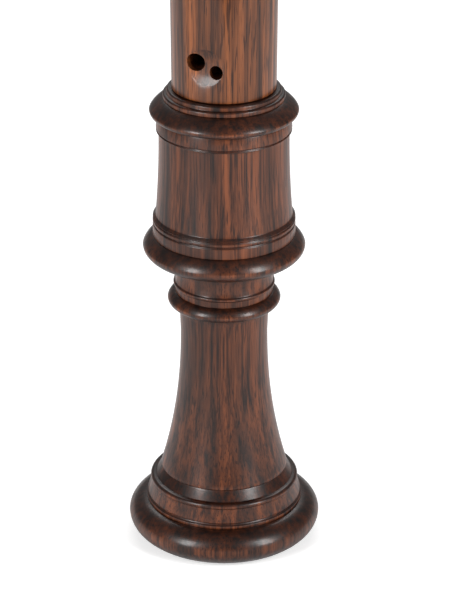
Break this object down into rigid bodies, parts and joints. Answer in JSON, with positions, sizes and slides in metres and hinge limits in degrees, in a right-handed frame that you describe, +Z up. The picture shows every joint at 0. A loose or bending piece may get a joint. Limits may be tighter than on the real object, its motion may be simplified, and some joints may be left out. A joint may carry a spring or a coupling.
{
  "type": "tenor recorder",
  "caption": "Baroque-style tenor recorder in three turned rosewood joints with cork-lapped tenons, cedar block, thumb rest and paired low holes.",
  "frame": {"origin": "centre of the foot joint's base, where the instrument stands", "axes": "+Z up along the bore to the mouthpiece, finger holes and window towards -Y, thumb hole towards +Y"},
  "size_m": [0.0586, 0.0586, 0.6477],
  "materials": {
    "rosewood_dark": "oiled and polished, satin",
    "rosewood_warm": "oiled and polished, satin",
    "cedar": "raw, planed",
    "cork": "greased cork",
    "ebony": "polished",
    "brass": "polished"
  },
  "bodies": {
    "foot": {"foot_joint": "rosewood_dark"},
    "lower_lap": {"lower_tenon_cork": "cork"},
    "middle": {"middle_joint": "rosewood_warm", "thumb_rest": "ebony", "thumb_rest_screw_1": "brass", "thumb_rest_screw_2": "brass"},
    "upper_lap": {"upper_tenon_cork": "cork"},
    "head": {"head_joint": "rosewood_warm"},
    "block": {"windway_block": "cedar"}
  },
  "joints": [
    {"name": "middle_pull", "type": "slide", "parent": "foot", "child": "lower_lap", "axis": [0, 0, 1], "range_m": [0, 0.031]},
    {"name": "middle_turn", "type": "hinge", "parent": "lower_lap", "child": "middle", "pos_m": [0, 0, 0.146], "axis": [0, 0, 1], "continuous": true},
    {"name": "head_turn", "type": "hinge", "parent": "middle", "child": "upper_lap", "pos_m": [0, 0, 0.434], "axis": [0, 0, 1], "continuous": true},
    {"name": "head_pull", "type": "slide", "parent": "upper_lap", "child": "head", "axis": [0, 0, 1], "range_m": [0, 0.031]},
    {"name": "block_pull", "type": "slide", "parent": "head", "child": "block", "axis": [0, 0, 1], "range_m": [0, 0.07]}
  ]
}
